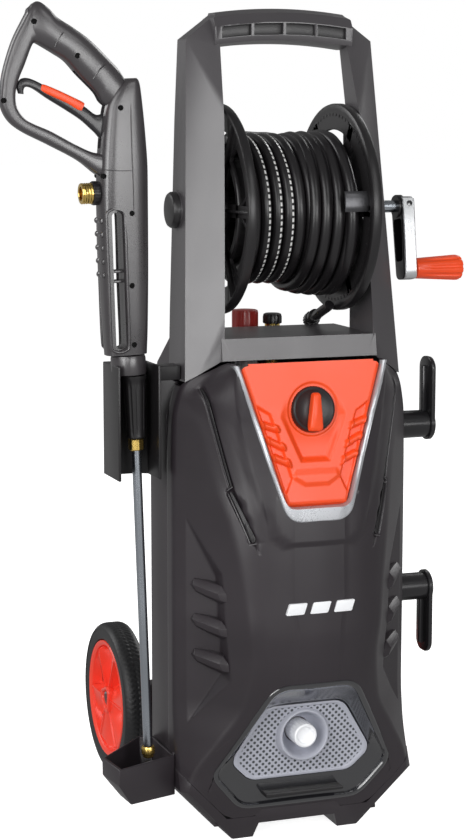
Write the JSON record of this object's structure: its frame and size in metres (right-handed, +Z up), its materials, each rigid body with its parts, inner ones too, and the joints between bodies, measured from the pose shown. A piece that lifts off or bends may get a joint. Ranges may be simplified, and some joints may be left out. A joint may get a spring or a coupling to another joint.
{
  "type": "pressure washer",
  "caption": "Upright electric pressure washer on two wheels, with a crank hose reel in its handle, a rotary switch, cord hooks and a parked spray gun.",
  "frame": {"origin": "centre of the machine's footprint box, on the floor, with the gun parked", "axes": "+Z up, the front with the switch faces -Y, +X to the right of somebody facing the front"},
  "size_m": [0.5227, 0.4364, 0.893],
  "materials": {
    "shell": "fine grained moulded plastic",
    "frame": "satin moulded plastic",
    "dark": "satin black plastic",
    "gloss": "polished black plastic",
    "orange": "semi-gloss orange plastic",
    "red": "semi-gloss red plastic",
    "grey": "dotted grey plastic",
    "silver": "silver-grey painted plastic",
    "white": "natural white plastic",
    "rubber": "black rubber",
    "tyre": "ribbed black tyre",
    "steel": "zinc-plated steel",
    "brass": "machined brass",
    "alloy": "cast aluminium"
  },
  "bodies": {
    "root": {"base_tray": "shell", "front_cover": "shell", "rear_cover": "shell", "handle_frame": "frame", "control_panel": "orange", "panel_bezel": "silver", "switch_body": "dark", "recess_trim": "gloss", "inlet_plate": "grey", "inlet_adapter": "dark", "inlet_plug": "white", "motor": "alloy", "wobble_housing": "alloy", "pump_head": "alloy", "unloader_valve": "brass", "inlet_pipe": "rubber", "outlet_pipe": "rubber", "detergent_tank": "white", "outlet_coupling": "brass", "outlet_cap": "dark", "cord_gland": "rubber", "wheel_axle": "steel", "reel_end_cap": "dark", "hose_tail": "rubber", "lance_cup": "shell", "gun_holder": "dark"},
    "wheel_left": {"tyre_left": "tyre", "rim_left": "red", "hub_cap_left": "dark"},
    "wheel_right": {"tyre_right": "tyre", "rim_right": "red", "hub_cap_right": "dark"},
    "reel": {"reel_flange_left": "dark", "reel_flange_right": "dark", "reel_drum": "dark", "hose_coil": "rubber", "reel_axle": "steel", "hose_clip": "grey", "crank_arm": "silver", "crank_spindle": "steel"},
    "crank_handle": {"crank_grip": "red"},
    "dial": {"switch_dial": "dark", "dial_pointer": "orange"},
    "hook_upper": {"cord_hook_upper": "dark"},
    "hook_lower": {"cord_hook_lower": "dark"},
    "gun": {"gun_shell_front": "frame", "gun_shell_rear": "frame", "trigger_pin": "steel", "gun_valve": "brass", "inlet_collar": "dark", "hose_inlet": "brass", "lance_collar": "frame", "lance_grip": "dark", "lance_nut": "brass", "lance_tube": "steel", "lance_nozzle": "brass"},
    "trigger_lever": {"trigger": "dark", "trigger_pad": "orange"},
    "fan": {"motor_fan": "dark"},
    "filler_cap": {"tank_cap": "red"}
  },
  "joints": [
    {"name": "wheel_left_spin", "type": "hinge", "parent": "root", "child": "wheel_left", "pos_m": [-0.07235, 0.12815, 0.09], "axis": [1, 0, 0], "continuous": true},
    {"name": "wheel_right_spin", "type": "hinge", "parent": "root", "child": "wheel_right", "pos_m": [0.16705, 0.12815, 0.09], "axis": [1, 0, 0], "continuous": true},
    {"name": "reel_spin", "type": "hinge", "parent": "root", "child": "reel", "pos_m": [0.04735, -0.08815, 0.6805], "axis": [1, 0, 0], "continuous": true},
    {"name": "crank_grip_spin", "type": "hinge", "parent": "reel", "child": "crank_handle", "pos_m": [0.23235, -0.09894, 0.61235], "axis": [1, 0, 0], "continuous": true},
    {"name": "switch_turn", "type": "hinge", "parent": "root", "child": "dial", "pos_m": [0.04735, -0.19182, 0.47498], "axis": [0, 0.9907, -0.1357], "range_deg": [0, 60]},
    {"name": "hook_upper_turn", "type": "hinge", "parent": "root", "child": "hook_upper", "pos_m": [0.20735, -0.08415, 0.436], "axis": [1, 0, 0], "range_deg": [0, 180]},
    {"name": "hook_lower_turn", "type": "hinge", "parent": "root", "child": "hook_lower", "pos_m": [0.20735, -0.08415, 0.249], "axis": [1, 0, 0], "range_deg": [0, 180]},
    {"name": "gun_lift", "type": "slide", "parent": "root", "child": "gun", "axis": [-0.0339, 0, 0.9994], "range_m": [0, 0.44]},
    {"name": "trigger_squeeze", "type": "hinge", "parent": "gun", "child": "trigger_lever", "pos_m": [-0.13971, -0.11315, 0.7806], "axis": [0, 1, 0], "range_deg": [0, 11], "stiffness_Nm_per_rad": 0.3, "springref_deg": -11.46},
    {"name": "motor_spin", "type": "hinge", "parent": "root", "child": "fan", "pos_m": [0.04735, -0.06015, 0.43], "axis": [0, 0, 1], "continuous": true},
    {"name": "tank_cap_turn", "type": "hinge", "parent": "root", "child": "filler_cap", "pos_m": [0.04435, 0.00385, 0.552], "axis": [0, 0, 1], "continuous": true}
  ]
}
